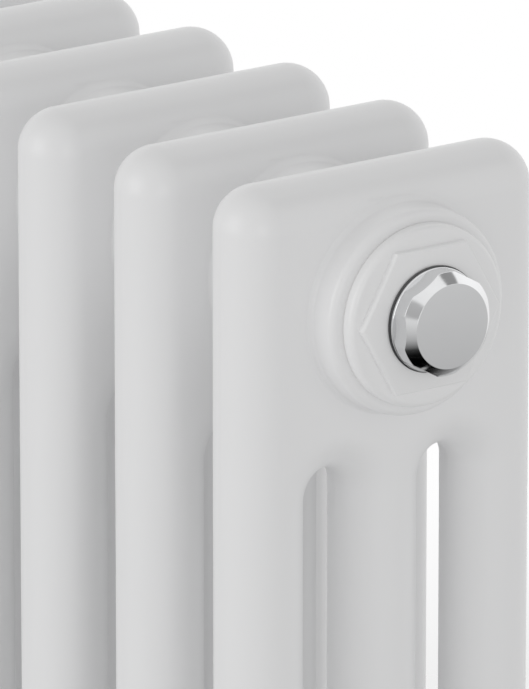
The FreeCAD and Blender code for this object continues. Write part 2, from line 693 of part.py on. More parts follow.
def foot():
    """A foot about the joint between two sections: base, upright, saddle and two ears."""
    saddle_radius = boss_neck_radius + 0.1
    ear_high = low_tapping - ear_drop
    ear_low = ear_high - ear_thick
    horn = low_tapping - math.sqrt(saddle_radius ** 2 - foot_half_width ** 2)
    base = Part.makeBox(foot_base_width, foot_base_length, foot_thick,
                        Vec(-foot_base_width / 2, -foot_base_length / 2, 0))
    upright_edges = [e for e in base.Edges if abs(e.tangentAt(e.FirstParameter).z) > 0.9]
    base = base.makeFillet(foot_base_corner, upright_edges)
    root = foot_thick - 0.5
    outline = [(-foot_spread, root), (foot_spread, root), (foot_ramp_half, foot_ramp_level),
               (foot_half_width, foot_neck_level), (foot_half_width, horn), (-foot_half_width, horn),
               (-foot_half_width, foot_neck_level), (-foot_ramp_half, foot_ramp_level)]
    corners = [Vec(-foot_thick / 2, y, z) for y, z in outline]
    upright = Part.Face(Part.makePolygon(corners + corners[:1])).extrude(Vec(foot_thick, 0, 0))
    ear_root = foot_half_width - 1
    ears = [Part.makeBox(ear_width, ear_length, ear_thick, Vec(-ear_width / 2, near, ear_low))
            for near in (-ear_root - ear_length, ear_root)]
    reach, along = foot_base_width, Vec(1, 0, 0)
    boss_room = Part.makeCylinder(saddle_radius, 2 * reach, Vec(-reach, 0, low_tapping), along)
    window = Part.makeCylinder(foot_window_radius, 2 * reach, Vec(-reach, 0, foot_window_level), along)
    body = joined([base, upright] + ears).cut(boss_room).cut(window)
    screw_hole = rod(floor_screw_radius, -1, foot_thick + 1)
    bolt_hole = rod(bolt_radius + bolt_hole_gap, ear_low - 1, ear_high + 1)
    for end in (-1, 1):
        body = body.cut(moved(screw_hole, 0, end * floor_screw_pitch / 2))
        body = body.cut(moved(bolt_hole, 0, end * bolt_bend()))
    return body, ear_low


def bolt_bend():
    """The U-bolt's bend: its rod lies between the rounded rims of two bosses."""
    rims = boss_neck_radius - boss_round
    return rims + math.sqrt((boss_round + bolt_radius + 0.1) ** 2 - boss_round ** 2)


def build_feet():
    """Two feet, each with a U-bolt over the bosses and two nuts under its ears."""
    body, ear_low = foot()
    save("foot_right", moved(body, foot_place))
    save("foot_left", moved(body, -foot_place))

    bend = bolt_bend()
    arch = Part.makeTorus(bend, bolt_radius, Vec(0, 0, low_tapping), Vec(1, 0, 0))
    arch = arch.common(Part.makeBox(4 * bolt_radius, 4 * bend, 2 * bend,
                                    Vec(-2 * bolt_radius, -2 * bend, low_tapping)))
    legs = [moved(rod(bolt_radius, ear_low - bolt_tail, low_tapping), 0, end * bend) for end in (-1, 1)]
    bolt = joined([arch] + legs)
    save("foot_u_bolts", moved(bolt, foot_place), moved(bolt, -foot_place))

    nut_low, chamfer, play = ear_low - nut_thick, 0.6, 0.02
    nut = hexagon(nut_flats, nut_low, ear_low, 0, chamfer)
    nut = nut.mirror(Vec(0, 0, (nut_low + ear_low) / 2), Vec(0, 0, 1))
    nut = nut.cut(rod(bolt_radius + play, nut_low - 1, ear_low + 1))
    nuts = [moved(nut, side * foot_place, end * bend) for side in (-1, 1) for end in (-1, 1)]
    save("foot_nuts", *nuts)


build_sections()
build_tappings()
build_thermostatic_valve()
build_lockshield_valve()
build_feet()
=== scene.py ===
import json
import math

import bmesh
import bpy
from mathutils import Matrix, Vector


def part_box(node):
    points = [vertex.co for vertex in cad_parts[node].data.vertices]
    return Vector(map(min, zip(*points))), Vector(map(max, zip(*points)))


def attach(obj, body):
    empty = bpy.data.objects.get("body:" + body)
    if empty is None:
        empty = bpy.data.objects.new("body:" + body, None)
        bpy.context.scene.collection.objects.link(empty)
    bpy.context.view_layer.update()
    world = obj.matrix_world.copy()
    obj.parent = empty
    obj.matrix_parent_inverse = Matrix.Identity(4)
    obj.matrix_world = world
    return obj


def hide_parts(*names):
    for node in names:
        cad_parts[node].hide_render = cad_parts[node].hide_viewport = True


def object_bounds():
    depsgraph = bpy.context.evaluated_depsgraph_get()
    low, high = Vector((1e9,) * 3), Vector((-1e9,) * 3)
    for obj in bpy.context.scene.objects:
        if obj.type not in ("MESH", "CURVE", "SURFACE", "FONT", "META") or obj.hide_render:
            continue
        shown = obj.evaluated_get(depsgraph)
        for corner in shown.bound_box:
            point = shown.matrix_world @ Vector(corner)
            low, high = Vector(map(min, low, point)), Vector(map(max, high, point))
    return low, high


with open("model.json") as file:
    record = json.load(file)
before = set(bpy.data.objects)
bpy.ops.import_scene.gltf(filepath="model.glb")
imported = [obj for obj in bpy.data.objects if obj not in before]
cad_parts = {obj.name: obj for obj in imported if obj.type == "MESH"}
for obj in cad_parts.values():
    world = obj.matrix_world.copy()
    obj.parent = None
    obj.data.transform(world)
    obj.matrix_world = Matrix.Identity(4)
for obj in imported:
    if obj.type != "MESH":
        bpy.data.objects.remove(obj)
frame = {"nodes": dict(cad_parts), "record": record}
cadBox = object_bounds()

mm = 0.001
scene = bpy.context.scene
sectionCount = sum(1 for name in frame["nodes"] if name.endswith("_top_head"))
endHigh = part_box("section_1_top_head")[1]
farLow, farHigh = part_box("section_%d_tubes" % sectionCount)
tubeLow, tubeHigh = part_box("section_1_tubes")
endPlace = (tubeLow.x + tubeHigh.x) / 2
farPlace = (farLow.x + farHigh.x) / 2
sectionPitch = (endPlace - farPlace) / (sectionCount - 1)
topLevel = endHigh.z
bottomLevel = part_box("section_1_bottom_head")[0].z
print("frame loaded,", sectionCount, "sections,", len(frame["nodes"]), "nodes")


# ---- mesh helpers ----

def centreOf(node):
    low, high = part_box(node)
    return (low + high) / 2


def softCorners(points, steps=6):
    # (along, radius, rounding) corners to a chain of points, each rounding an arc
    chain = []
    count = len(points)
    for index, (z, r, rounding) in enumerate(points):
        here = Vector((r, z))
        before = Vector((points[index - 1][1], points[index - 1][0]))
        after = Vector((points[(index + 1) % count][1], points[(index + 1) % count][0]))
        if rounding <= 0:
            chain.append((z, r))
            continue
        inward = (before - here).normalized()
        outward = (after - here).normalized()
        half = math.acos(max(-1.0, min(1.0, inward.dot(outward)))) / 2
        back = rounding / math.tan(half)
        centre = here + (inward + outward).normalized() * (rounding / math.sin(half))
        start = here + inward * back - centre
        end = here + outward * back - centre
        turn = start.angle_signed(end)
        for step in range(steps + 1):
            spoke = start.copy()
            spoke.rotate(Matrix.Rotation(-turn * step / steps, 2))
            chain.append(((centre + spoke).y, (centre + spoke).x))
    return chain


def spinProfile(bm, chain, steps, closed=True):
    # a chain of (along, radius) turned about Z; returns its vertices
    before = set(bm.verts)
    verts = [bm.verts.new((max(r, 0.0), 0, z)) for z, r in chain]
    edges = [bm.edges.new((verts[i], verts[i + 1])) for i in range(len(verts) - 1)]
    if closed:
        edges.append(bm.edges.new((verts[-1], verts[0])))
    bmesh.ops.spin(bm, geom=verts + edges, cent=(0, 0, 0), axis=(0, 0, 1), angle=math.tau, steps=steps,
                   use_merge=True)
    made = [v for v in bm.verts if v not in before]
    bmesh.ops.remove_doubles(bm, verts=made, dist=1e-6)
    return [v for v in bm.verts if v not in before]


def sixFlats(bm, flats, turn=0.0):
    # cut six upright flats on everything in the mesh
    for side in range(6):
        angle = math.radians(side * 60 + turn)
        outward = Vector((math.cos(angle), math.sin(angle), 0))
        cut = bmesh.ops.bisect_plane(bm, geom=bm.verts[:] + bm.edges[:] + bm.faces[:],
                                     plane_co=outward * flats / 2, plane_no=outward,
                                     clear_outer=True, dist=1e-7)
        rim = [e for e in cut["geom_cut"] if isinstance(e, bmesh.types.BMEdge)]
        bmesh.ops.holes_fill(bm, edges=rim, sides=0)


def hexBar(bm, flats, low, high, rounding):
    # an upright hexagonal bar, its sides and upper edges softened
    bmesh.ops.create_circle(bm, cap_ends=True, segments=6, radius=flats / math.sqrt(3),
                            matrix=Matrix.Translation((0, 0, low)))
    grown = bmesh.ops.extrude_face_region(bm, geom=[f for f in bm.faces if abs(f.normal.z) > 0.9])
    risen = [g for g in grown["geom"] if isinstance(g, bmesh.types.BMVert)]
    bmesh.ops.translate(bm, vec=(0, 0, high - low), verts=risen)
    rim = [e for e in bm.edges if e.verts[0].co.z + e.verts[1].co.z > low + high + 1e-9]
    bmesh.ops.bevel(bm, geom=rim, offset=rounding, segments=3, profile=0.5, affect="EDGES", material=-1,
                    clamp_overlap=True)


def layAlong(bm, side, place):
    # from upright about Z to lying along the row, its top pointing to the given side
    turn = Matrix.Rotation(math.radians(90 * side), 4, "Y")
    bmesh.ops.transform(bm, matrix=Matrix.Translation(place) @ turn, verts=bm.verts[:])


def meshFrom(bm, name, sharp=None):
    bmesh.ops.recalc_face_normals(bm, faces=bm.faces[:])
    mesh = bpy.data.meshes.new(name)
    bm.to_mesh(mesh)
    bm.free()
    mesh.shade_smooth()
    if sharp:
        mesh.set_sharp_from_angle(angle=math.radians(sharp))
    return mesh


def addPiece(name, mesh, body, slotName, material, *replaced):
    piece = bpy.data.objects.new(name, mesh)
    scene.collection.objects.link(piece)
    mesh.materials.append(material)
    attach(piece, body)
    if replaced:
        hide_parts(*replaced)
    return piece


# ---- node helpers ----

def wire(tree, fromSocket, toSocket):
    tree.links.new(fromSocket, toSocket)


def feed(tree, made, values):
    # give each named input its constant value or its link
    for key, value in values.items():
        if isinstance(value, bpy.types.NodeSocket):
            wire(tree, value, made.inputs[key])
        else:
            made.inputs[key].default_value = value
    return made


def addNode(tree, kind, settings=None, **values):
    made = tree.nodes.new(kind)
    for key, value in (settings or {}).items():
        setattr(made, key, value)
    return feed(tree, made, values)


def mathNode(tree, operation, first, second=0.0, third=0.0):
    made = addNode(tree, "ShaderNodeMath", {"operation": operation})
    return feed(tree, made, {0: first, 1: second, 2: third}).outputs[0]


def mixColour(tree, factor, first, second):
    # the mix node keeps its colour sockets at 6 and 7 and its colour result at 2
    made = addNode(tree, "ShaderNodeMix", {"data_type": "RGBA"})
    return feed(tree, made, {0: factor, 6: first, 7: second}).outputs[2]


def newGroup(name, inputs, outputs):
    group = bpy.data.node_groups.new(name, "ShaderNodeTree")
    for label, value in inputs:
        kind = "NodeSocketFloat" if isinstance(value, float) else "NodeSocketVector"
        socket = group.interface.new_socket(label, in_out="INPUT", socket_type=kind)
        if isinstance(value, float):
            socket.default_value = value
    for label in outputs:
        group.interface.new_socket(label, in_out="OUTPUT", socket_type="NodeSocketFloat")
    return group, group.nodes.new("NodeGroupInput"), group.nodes.new("NodeGroupOutput")


def useGroup(tree, group, **values):
    return addNode(tree, "ShaderNodeGroup", {"node_tree": group}, **values)


# ---- effects that several finishes share ----

skinSet = {"cloudScale": 9.0, "swellShare": 3.0}
dustSet = {"leastFacing": 0.35, "patchScale": 60.0}
markSet = {"hairStretch": (3.0, 60.0, 900.0), "hairTurn": (0.6, 0.9, 0.3), "hairFrom": 0.56, "hairTo": 0.66}


def buildPaintSkin():
    # the slow swell and the fine orange peel of sprayed paint, and a faint cloudiness
    group, inside, outside = newGroup("paintSkin", [("Place", None), ("Peel size", 1.6), ("Swell size", 14.0)],
                                      ["Height", "Cloud"])
    place = inside.outputs["Place"]
    fine = mathNode(group, "DIVIDE", 1000.0, inside.outputs["Peel size"])
    slow = mathNode(group, "DIVIDE", 1000.0, inside.outputs["Swell size"])
    peel = addNode(group, "ShaderNodeTexNoise", Vector=place, Scale=fine, Detail=2.0, Roughness=0.45)
    swell = addNode(group, "ShaderNodeTexNoise", Vector=place, Scale=slow, Detail=1.0, Roughness=0.4)
    cloud = addNode(group, "ShaderNodeTexNoise", Vector=place, Scale=skinSet["cloudScale"], Detail=4.0,
                    Roughness=0.6)
    both = mathNode(group, "MULTIPLY_ADD", swell.outputs["Fac"], skinSet["swellShare"], peel.outputs["Fac"])
    wire(group, both, outside.inputs["Height"])
    wire(group, cloud.outputs["Fac"], outside.inputs["Cloud"])
    return group


def buildDustFall():
    # 1 on what faces up, broken up by a noise
    group, inside, outside = newGroup("dustFall", [("Place", None), ("Amount", 0.5)], ["Mask"])
    facing = group.nodes.new("ShaderNodeNewGeometry")
    parts = addNode(group, "ShaderNodeSeparateXYZ", Vector=facing.outputs["Normal"])
    up = addNode(group, "ShaderNodeMapRange", {"clamp": True}, Value=parts.outputs["Z"])
    up.inputs["From Min"].default_value = dustSet["leastFacing"]
    up.inputs["From Max"].default_value = 1.0
    patches = addNode(group, "ShaderNodeTexNoise", Vector=inside.outputs["Place"],
                      Scale=dustSet["patchScale"], Detail=5.0, Roughness=0.7)
    broken = mathNode(group, "MULTIPLY", up.outputs["Result"], patches.outputs["Fac"])
    wire(group, mathNode(group, "MULTIPLY", broken, inside.outputs["Amount"]), outside.inputs["Mask"])
    return group


def buildToolMarks():
    # rings left by turning, about the X axis of the place it is given, and stray hairline scratches
    group, inside, outside = newGroup("toolMarks", [("Place", None), ("Ring size", 0.25)],
                                      ["Rings", "Hairlines"])
    parts = addNode(group, "ShaderNodeSeparateXYZ", Vector=inside.outputs["Place"])
    across, rise = parts.outputs["Y"], parts.outputs["Z"]
    squared = mathNode(group, "MULTIPLY_ADD", rise, rise, mathNode(group, "MULTIPLY", across, across))
    radius = mathNode(group, "SQRT", squared)
    along = addNode(group, "ShaderNodeCombineXYZ", X=mathNode(group, "ADD", radius, parts.outputs["X"]))
    pace = mathNode(group, "DIVIDE", 1000.0, inside.outputs["Ring size"])
    rings = addNode(group, "ShaderNodeTexNoise", Vector=along.outputs[0], Scale=pace, Detail=3.0,
                    Roughness=0.7)
    stretched = addNode(group, "ShaderNodeMapping", Vector=inside.outputs["Place"],
                        Scale=markSet["hairStretch"], Rotation=markSet["hairTurn"])
    hairs = addNode(group, "ShaderNodeTexNoise", Vector=stretched.outputs[0], Scale=1.0, Detail=6.0,
                    Roughness=0.75)
    thin = addNode(group, "ShaderNodeMapRange", {"clamp": True}, Value=hairs.outputs["Fac"])
    thin.inputs["From Min"].default_value = markSet["hairFrom"]
    thin.inputs["From Max"].default_value = markSet["hairTo"]
    wire(group, rings.outputs["Fac"], outside.inputs["Rings"])
    wire(group, thin.outputs["Result"], outside.inputs["Hairlines"])
    return group


paintSkin = buildPaintSkin()
dustFall = buildDustFall()
toolMarks = buildToolMarks()


# ---- finishes ----

def startMaterial(name):
    material = bpy.data.materials.new(name)
    material.use_nodes = True
    tree = material.node_tree
    tree.nodes.clear()
    shader = tree.nodes.new("ShaderNodeBsdfPrincipled")
    output = tree.nodes.new("ShaderNodeOutputMaterial")
    wire(tree, shader.outputs[0], output.inputs["Surface"])
    place = tree.nodes.new("ShaderNodeTexCoord").outputs["Object"]
    return material, tree, shader, place


def paintFinish(name, look):
    material, tree, shader, place = startMaterial(name)
    sizes = {"Peel size": look["peelSize"], "Swell size": look["swellSize"]}
    skin = useGroup(tree, paintSkin, Place=place, **sizes)
    dust = useGroup(tree, dustFall, Place=place, Amount=look["dust"])
    clouded = mixColour(tree, skin.outputs["Cloud"], (*look["shade"], 1), (*look["colour"], 1))
    dusted = mixColour(tree, dust.outputs["Mask"], clouded, (*look["dustColour"], 1))
    wire(tree, dusted, shader.inputs["Base Color"])
    rough = addNode(tree, "ShaderNodeMapRange", Value=skin.outputs["Cloud"])
    rough.inputs["To Min"].default_value = look["roughness"] - look["roughnessSpread"]
    rough.inputs["To Max"].default_value = look["roughness"] + look["roughnessSpread"]
    dulled = mathNode(tree, "MULTIPLY_ADD", dust.outputs["Mask"], 0.25, rough.outputs["Result"])
    wire(tree, dulled, shader.inputs["Roughness"])
    bump = addNode(tree, "ShaderNodeBump", Height=skin.outputs["Height"], Distance=look["bumpHeight"] * mm,
                   Strength=look["bumpStrength"])
    wire(tree, bump.outputs[0], shader.inputs["Normal"])
    shader.inputs["Coat Weight"].default_value = look["coat"]
    shader.inputs["Coat Roughness"].default_value = look["coatRoughness"]
    shader.inputs["Specular IOR Level"].default_value = 0.5
    return material


def metalFinish(name, look, centre=(0, 0, 0)):
    material, tree, shader, place = startMaterial(name)
    centred = addNode(tree, "ShaderNodeMapping", {"vector_type": "TEXTURE"}, Vector=place, Location=centre)
    marks = useGroup(tree, toolMarks, Place=centred.outputs[0], **{"Ring size": look["ringSize"]})
    stain = addNode(tree, "ShaderNodeTexNoise", Vector=place, Scale=look["stainScale"], Detail=4.0,
                    Roughness=0.6)
    colour = mixColour(tree, stain.outputs["Fac"], (*look["colour"], 1), (*look["stain"], 1))
    wire(tree, colour, shader.inputs["Base Color"])
    shader.inputs["Metallic"].default_value = 1.0
    scratched = mathNode(tree, "MULTIPLY_ADD", marks.outputs["Hairlines"], look["scratch"], look["roughness"])
    rough = mathNode(tree, "MULTIPLY_ADD", stain.outputs["Fac"], look["smear"], scratched)
    wire(tree, rough, shader.inputs["Roughness"])
    bump = addNode(tree, "ShaderNodeBump", Height=marks.outputs["Rings"], Distance=look["bumpHeight"] * mm,
                   Strength=look["bumpStrength"])
    wire(tree, bump.outputs[0], shader.inputs["Normal"])
    return material


def plainFinish(name, look):
    # rubber and small moulded pieces: a grainy skin with dust in it
    material, tree, shader, place = startMaterial(name)
    grain = addNode(tree, "ShaderNodeTexNoise", Vector=place, Scale=1000.0 / look["grainSize"], Detail=4.0,
                    Roughness=0.6)
    bloom = addNode(tree, "ShaderNodeTexNoise", Vector=place, Scale=look["bloomScale"], Detail=5.0,
                    Roughness=0.6)
    dust = useGroup(tree, dustFall, Place=place, Amount=look["dust"])
    colour = mixColour(tree, bloom.outputs["Fac"], (*look["shade"], 1), (*look["colour"], 1))
    dusted = mixColour(tree, dust.outputs["Mask"], colour, (*look["dustColour"], 1))
    wire(tree, dusted, shader.inputs["Base Color"])
    rough = mathNode(tree, "MULTIPLY_ADD", bloom.outputs["Fac"], look["roughnessSpread"], look["roughness"])
    wire(tree, rough, shader.inputs["Roughness"])
    bump = addNode(tree, "ShaderNodeBump", Height=grain.outputs["Fac"], Distance=look["bumpHeight"] * mm,
                   Strength=look["bumpStrength"])
    wire(tree, bump.outputs[0], shader.inputs["Normal"])
    return material


enamelLook = {"colour": (0.90, 0.90, 0.904), "shade": (0.888, 0.89, 0.895), "dustColour": (0.74, 0.73, 0.715),
              "dust": 0.10, "roughness": 0.40, "roughnessSpread": 0.03, "peelSize": 1.4, "swellSize": 12.0,
              "bumpHeight": 0.02, "bumpStrength": 0.35, "coat": 0.25, "coatRoughness": 0.22}
bushLook = dict(enamelLook, colour=(0.92, 0.92, 0.921), peelSize=1.0, swellSize=6.0, roughness=0.36)
footLook = dict(enamelLook, colour=(0.85, 0.85, 0.855), peelSize=0.8, bumpHeight=0.05, roughness=0.48, coat=0.1,
                dust=0.35)
chromeLook = {"colour": (0.775, 0.78, 0.787), "stain": (0.715, 0.72, 0.73), "stainScale": 55.0,
              "roughness": 0.07, "smear": 0.07, "scratch": 0.10, "ringSize": 0.22, "bumpHeight": 0.004,
              "bumpStrength": 0.25}
brassLook = {"colour": (0.78, 0.60, 0.31), "stain": (0.62, 0.44, 0.20), "stainScale": 90.0, "roughness": 0.22,
             "smear": 0.16, "scratch": 0.15, "ringSize": 0.3, "bumpHeight": 0.01, "bumpStrength": 0.4}
zincLook = {"colour": (0.68, 0.69, 0.71), "stain": (0.55, 0.57, 0.60), "stainScale": 160.0, "roughness": 0.30,
            "smear": 0.20, "scratch": 0.10, "ringSize": 0.5, "bumpHeight": 0.01, "bumpStrength": 0.4}
steelLook = dict(zincLook, colour=(0.58, 0.58, 0.60), stain=(0.45, 0.45, 0.47), roughness=0.25)
rubberLook = {"colour": (0.028, 0.028, 0.03), "shade": (0.018, 0.018, 0.02), "grainSize": 0.3,
              "bloomScale": 80.0, "dustColour": (0.55, 0.54, 0.52), "dust": 0.15, "roughness": 0.55,
              "roughnessSpread": 0.15, "bumpHeight": 0.02, "bumpStrength": 0.5}
plasticLook = {"colour": (0.80, 0.80, 0.79), "shade": (0.78, 0.78, 0.775), "grainSize": 0.35,
               "bloomScale": 30.0, "dustColour": (0.55, 0.54, 0.52), "dust": 0.2, "roughness": 0.42,
               "roughnessSpread": 0.08, "bumpHeight": 0.012, "bumpStrength": 0.4}
sensorLook = dict(plasticLook, colour=(0.12, 0.125, 0.13), shade=(0.09, 0.095, 0.10))

plugPlace = centreOf("blanking_plug")
ventPlace = centreOf("vent_body")
enamel = paintFinish("radiatorEnamel", enamelLook)
bushEnamel = paintFinish("bushEnamel", bushLook)
footEnamel = paintFinish("footEnamel", footLook)
plugChrome = metalFinish("plugChrome", chromeLook, centre=plugPlace)
ventChrome = metalFinish("ventChrome", chromeLook, centre=ventPlace)
valveChrome = metalFinish("valveChrome", dict(chromeLook, roughness=0.10),
                          centre=(0, 0, centreOf("valve_tail").z))
turnedBrass = metalFinish("turnedBrass", brassLook)
zincPlate = metalFinish("zincPlate", zincLook)
springSteel = metalFinish("springSteel", steelLook)
sealRubber = plainFinish("sealRubber", rubberLook)
whitePlastic = plainFinish("whitePlastic", plasticLook)
sensorPlastic = plainFinish("sensorPlastic", sensorLook)
print("finishes made")


# ---- heads: a pressed shell and two bosses ----

headShape = {"archTop": 85 * mm, "cornerSteps": 12, "edgeSteps": 12}
bossShape = {"neckRadius": 29.7 * mm, "footRadius": 30.0 * mm, "rimRounding": 2.2 * mm, "footHeight": 1.8 * mm,
             "flankSlope": 2.6, "softness": 1.6 * mm, "skirtRadius": 33.0 * mm, "skirtStep": 0.3 * mm,
             "steps": 128, "lift": 0.01 * mm, "boreLength": 9 * mm, "boreEdge": 0.7 * mm, "inside": 2 * mm}
tubeRadius = (tubeHigh.x - tubeLow.x) / 2
halfDepth = endHigh.y
columnPitch = halfDepth - tubeRadius
legEnd = topLevel - tubeHigh.z
tappingDrop = topLevel - centreOf("bush_top_right").z
endBossReach = endHigh.x - endPlace


def shellBody(bm, shape):
    # the outline is a plate with two slots, and both rims are rounded over until they meet
    r = tubeRadius
    arch = -shape["archTop"]
    inner = columnPitch - r
    corners = [(-halfDepth, 0), (halfDepth, 0), (halfDepth, -legEnd), (inner, -legEnd), (inner, arch), (r, arch),
               (r, -legEnd), (-r, -legEnd), (-r, arch), (-inner, arch), (-inner, -legEnd), (-halfDepth, -legEnd)]
    verts = [bm.verts.new((-r, y, z)) for y, z in corners]
    bm.faces.new(verts)
    tops = [v for v in verts if v.co.z > -1e-6]
    arches = [v for v in verts if abs(v.co.z - arch) < 1e-6]
    bmesh.ops.bevel(bm, geom=tops, offset=r, segments=shape["cornerSteps"], profile=0.5, affect="VERTICES",
                    material=-1, clamp_overlap=False)
    bmesh.ops.bevel(bm, geom=arches, offset=(inner - r) / 2, segments=shape["cornerSteps"], profile=0.5,
                    affect="VERTICES", material=-1, clamp_overlap=False)
    bmesh.ops.remove_doubles(bm, verts=bm.verts[:], dist=1e-6)
    grown = bmesh.ops.extrude_face_region(bm, geom=bm.faces[:])
    farSide = [g for g in grown["geom"] if isinstance(g, bmesh.types.BMVert)]
    bmesh.ops.translate(bm, vec=(2 * r, 0, 0), verts=farSide)
    rims = [e for e in bm.edges if abs(e.verts[0].co.x - e.verts[1].co.x) < 1e-6
            and max(v.co.z for v in e.verts) > -legEnd + 1e-6]
    bmesh.ops.bevel(bm, geom=rims, offset=r * 0.992, segments=shape["edgeSteps"], profile=0.5, affect="EDGES",
                    material=-1, clamp_overlap=False)


def shellReach(z):
    # how far the shell's surface stands out from the middle sheet at a point near the tapping
    over = max(0.0, z + tubeRadius)
    return math.sqrt(max(tubeRadius ** 2 - over ** 2, 0.0))


def softUnion(a, b, softness):
    near = max(softness - abs(a - b), 0.0) / softness
    return max(a, b) + near * near * softness / 4


def bossBody(bm, shape, side, boreRadius, rim):
    # turned about the tapping, then its foot is let down on to the shell all round
    skirt = shape["skirtRadius"]
    footAt = tubeRadius + shape["footHeight"]
    inside, edge = shape["inside"], shape["boreEdge"]
    chain = softCorners([(rim - shape["boreLength"], boreRadius, 0), (rim - edge, boreRadius, 0),
                         (rim, boreRadius + edge, 0), (rim, shape["neckRadius"], shape["rimRounding"]),
                         (footAt, shape["footRadius"], 0)], 8)
    rings = int((skirt - shape["footRadius"]) / shape["skirtStep"])
    for ring in range(1, rings + 1):
        radius = shape["footRadius"] + ring * shape["skirtStep"]
        chain.append((footAt - (radius - shape["footRadius"]) * shape["flankSlope"], radius))
    outer = chain[-1][1]
    chain += [(inside, outer), (inside, boreRadius)]
    verts = spinProfile(bm, chain, shape["steps"])
    bmesh.ops.rotate(bm, verts=verts, cent=(0, 0, 0), matrix=Matrix.Rotation(math.radians(90), 3, "Y"))
    for v in verts:
        radius = math.hypot(v.co.y, v.co.z)
        if radius > shape["neckRadius"] - 0.01 * mm and abs(v.co.x - inside) > 1e-7:
            shell = shellReach(v.co.z - tappingDrop)
            v.co.x = softUnion(v.co.x, shell + shape["lift"], shape["softness"])
    if side < 0:
        bmesh.ops.scale(bm, vec=(-1, 1, 1), verts=verts)
    bmesh.ops.translate(bm, vec=(0, 0, -tappingDrop), verts=verts)


threadedRadius, weldedRadius = 20.95 * mm, 25.4 * mm


def headMesh(name, rightBore, leftBore):
    bm = bmesh.new()
    shellBody(bm, headShape)
    for side, bore in ((1, rightBore), (-1, leftBore)):
        rim = endBossReach if bore == threadedRadius else sectionPitch / 2
        bossBody(bm, bossShape, side, bore, rim)
    return meshFrom(bm, name, 50)


tubeShape = {"wall": 1.25 * mm, "steps": 48}


def tubesMesh(name):
    bm = bmesh.new()
    length, bore = tubeHigh.z - tubeLow.z, tubeRadius - tubeShape["wall"]
    for column in (-columnPitch, 0, columnPitch):
        verts = spinProfile(bm, [(0, tubeRadius), (length, tubeRadius), (length, bore), (0, bore)],
                            tubeShape["steps"])
        bmesh.ops.translate(bm, vec=(0, column, tubeLow.z), verts=verts)
    return meshFrom(bm, name, 40)


def buildSections():
    for index in range(sectionCount):
        right = threadedRadius if index == 0 else weldedRadius
        left = threadedRadius if index == sectionCount - 1 else weldedRadius
        place = endPlace - index * sectionPitch
        number = str(index + 1)
        for where, level, flip in (("top", topLevel, 1), ("bottom", bottomLevel, -1)):
            mesh = headMesh("head" + number + where, right, left)
            mesh.transform(Matrix.Translation((place, 0, level)) @ Matrix.Diagonal((1, 1, flip, 1)))
            if flip < 0:
                mesh.flip_normals()
            piece = addPiece("section" + number + where.capitalize() + "Head", mesh, "radiator",
                             "radiator_enamel", enamel, "section_" + number + "_" + where + "_head")
            weighted = piece.modifiers.new("evenFlats", "WEIGHTED_NORMAL")
            weighted.keep_sharp = True
        mesh = tubesMesh("tubes" + number)
        mesh.transform(Matrix.Translation((place, 0, 0)))
        addPiece("section" + number + "Tubes", mesh, "radiator", "radiator_enamel", enamel,
                 "section_" + number + "_tubes")


buildSections()
print("sections built")


# ---- bushes, blanking plug ----

bushShape = {"flangeRadius": 26.2 * mm, "flangeHigh": 3.8 * mm, "rimRounding": 1.8 * mm, "hexFlats": 41.0 * mm,
             "hexHigh": 2.0 * mm, "hexRounding": 0.7 * mm, "bore": 10.45 * mm}
plugShape = {"radius": 15.0 * mm, "flats": 28.4 * mm, "faceRadius": 12.2 * mm, "rimHigh": 1.8 * mm,
             "high": 9.4 * mm, "rebate": 0.55 * mm, "edge": 0.18 * mm, "sealWire": 0.55 * mm,
             "thread": 10.3 * mm, "threadLong": 8.0 * mm}
ventShape = {"pocket": 5.2 * mm, "pocketDepth": 4.5 * mm, "collar": 4.6 * mm, "collarHigh": 1.2 * mm,
             "keyHalf": 2.5 * mm, "keyHigh": 4.2 * mm}


def bushBody(shape):
    bm = bmesh.new()
    top = shape["flangeHigh"]
    hexBar(bm, shape["hexFlats"], top - 0.2 * mm, top + shape["hexHigh"], shape["hexRounding"])
    rim, bore = shape["flangeRadius"], shape["bore"]
    spinProfile(bm, softCorners([(0, bore, 0), (0, rim, 0.3 * mm), (top, rim, shape["rimRounding"]),
                                 (top, bore, 0)]), 128)
    return bm


def plugBody(shape, pocket=0.0, pocketDepth=0.0):
    # the flats are cut on the body alone, then the rim and thread are turned below it
    bm = bmesh.new()
    low, high, radius = shape["rimHigh"], shape["high"], shape["radius"]
    chamferLow = high - (radius - shape["faceRadius"])
    face = [(high, shape["faceRadius"], shape["edge"])]
    if pocket:
        face += [(high, pocket, 0.2 * mm), (high - pocketDepth, pocket, 0), (high - pocketDepth, 0, 0)]
    else:
        face += [(high, 0, 0)]
    chain = softCorners([(low - 0.2 * mm, 0, 0), (low - 0.2 * mm, radius - 0.3 * mm, 0),
                         (low + 0.3 * mm, radius, 0), (chamferLow, radius, shape["edge"])] + face, 4)
    spinProfile(bm, chain, 144, closed=False)
    bmesh.ops.recalc_face_normals(bm, faces=bm.faces[:])
    sixFlats(bm, shape["flats"], 30)
    sunk = 2 * shape["sealWire"]
    neck = radius - shape["rebate"]
    spinProfile(bm, softCorners([(-shape["threadLong"], 0, 0), (-shape["threadLong"], shape["thread"], 0),
                                 (0, shape["thread"], 0), (0, neck, 0), (sunk, neck, 0),
                                 (sunk, radius, 0.1 * mm), (low, radius, 0.3 * mm), (low, 0, 0)], 4), 128,
                closed=False)
    return bm


